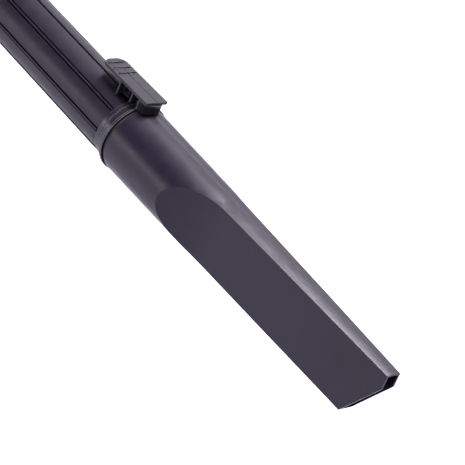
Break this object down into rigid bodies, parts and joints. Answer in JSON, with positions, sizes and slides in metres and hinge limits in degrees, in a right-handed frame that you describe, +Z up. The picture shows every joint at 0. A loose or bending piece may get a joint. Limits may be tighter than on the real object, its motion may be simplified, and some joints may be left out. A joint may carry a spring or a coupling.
{
  "type": "handheld vacuum",
  "caption": "Cordless handheld vacuum: ribbed suction wand with thumb latch pedal, push-on crevice nozzle with flattened sides, clear dust cup, round body and loop handle.",
  "frame": {"origin": "centre of the base pad's underside, below the housing's axis", "axes": "+X along the wand to the nozzle's tip, +Z up, +Y to the left"},
  "size_m": [0.6945, 0.108, 0.1721],
  "materials": {
    "black_satin": "satin moulded",
    "rubber": "matte",
    "steel": "zinc plated",
    "clear_smoke": "clear moulded",
    "grey_plastic": "fine grained",
    "inner_plastic": "moulded",
    "accent": "polished",
    "paper": "pleated",
    "mesh": "woven",
    "can": "drawn",
    "core": "wound",
    "fan": "moulded",
    "board": "lacquered",
    "cells": "sleeved",
    "foam": "open cell",
    "lamp": "clear"
  },
  "bodies": {
    "housing": {"housing_left": "grey_plastic", "housing_right": "grey_plastic", "rear_cap": "grey_plastic", "base_pad": "black_satin", "top_handle": "black_satin", "handle_grip": "rubber", "switch_module": "inner_plastic", "button_shelf": "inner_plastic", "button_spring": "steel", "motor_can": "can", "fan_shroud": "inner_plastic", "front_motor_mount": "inner_plastic", "rear_motor_mount": "inner_plastic", "circuit_board": "board", "battery_cells": "cells", "battery_cradle": "inner_plastic", "exhaust_foam": "foam", "charge_jack": "inner_plastic", "charge_lamp": "lamp", "housing_screws": "steel", "cap_screws": "steel", "cup_seal": "rubber", "filter_seat": "inner_plastic"},
    "filter": {"filter_frame": "inner_plastic", "pleated_filter": "paper", "mesh_screen": "mesh"},
    "cup": {"dust_cup": "clear_smoke", "inlet_duct": "inner_plastic", "flap_pin": "steel"},
    "flap": {"inlet_flap": "rubber"},
    "wand": {"wand_tube": "black_satin", "end_collar": "black_satin", "seal_ring": "rubber", "pedal_bracket": "black_satin", "pedal_pin": "steel", "pedal_spring": "steel", "wand_ferrule": "black_satin", "wand_seal": "rubber"},
    "nozzle": {"crevice_nozzle": "black_satin"},
    "pedal": {"thumb_pedal": "black_satin"},
    "switch": {"power_switch": "accent"},
    "button": {"cup_button": "accent"},
    "rotor": {"motor_core": "core", "motor_shaft": "steel", "fan_impeller": "fan"}
  },
  "joints": [
    {"name": "cup_slide", "type": "slide", "parent": "housing", "child": "cup", "axis": [1, 0, 0], "range_m": [0, 0.06]},
    {"name": "filter_pull", "type": "slide", "parent": "housing", "child": "filter", "axis": [1, 0, 0], "range_m": [0, 0.005]},
    {"name": "flap_swing", "type": "hinge", "parent": "cup", "child": "flap", "pos_m": [0.1286, 0, 0.0781], "axis": [0, 1, 0], "range_deg": [0, 70]},
    {"name": "wand_slide", "type": "slide", "parent": "cup", "child": "wand", "axis": [1, 0, 0], "range_m": [0, 0.036]},
    {"name": "nozzle_slide", "type": "slide", "parent": "wand", "child": "nozzle", "axis": [1, 0, 0], "range_m": [0, 0.037]},
    {"name": "pedal_press", "type": "hinge", "parent": "wand", "child": "pedal", "pos_m": [0.3404, 0, 0.0815], "axis": [0, -1, 0], "range_deg": [0, 8], "stiffness_Nm_per_rad": 0.4, "springref_deg": -5.73},
    {"name": "switch_slide", "type": "slide", "parent": "housing", "child": "switch", "axis": [1, 0, 0], "range_m": [0, 0.006]},
    {"name": "button_press", "type": "slide", "parent": "housing", "child": "button", "axis": [0, 0, -1], "range_m": [0, 0.0025], "stiffness_N_per_m": 1200, "springref_m": -0.001, "deforming": ["button_spring"]},
    {"name": "fan_spin", "type": "hinge", "parent": "housing", "child": "rotor", "pos_m": [0, 0, 0.062], "axis": [1, 0, 0], "continuous": true}
  ]
}
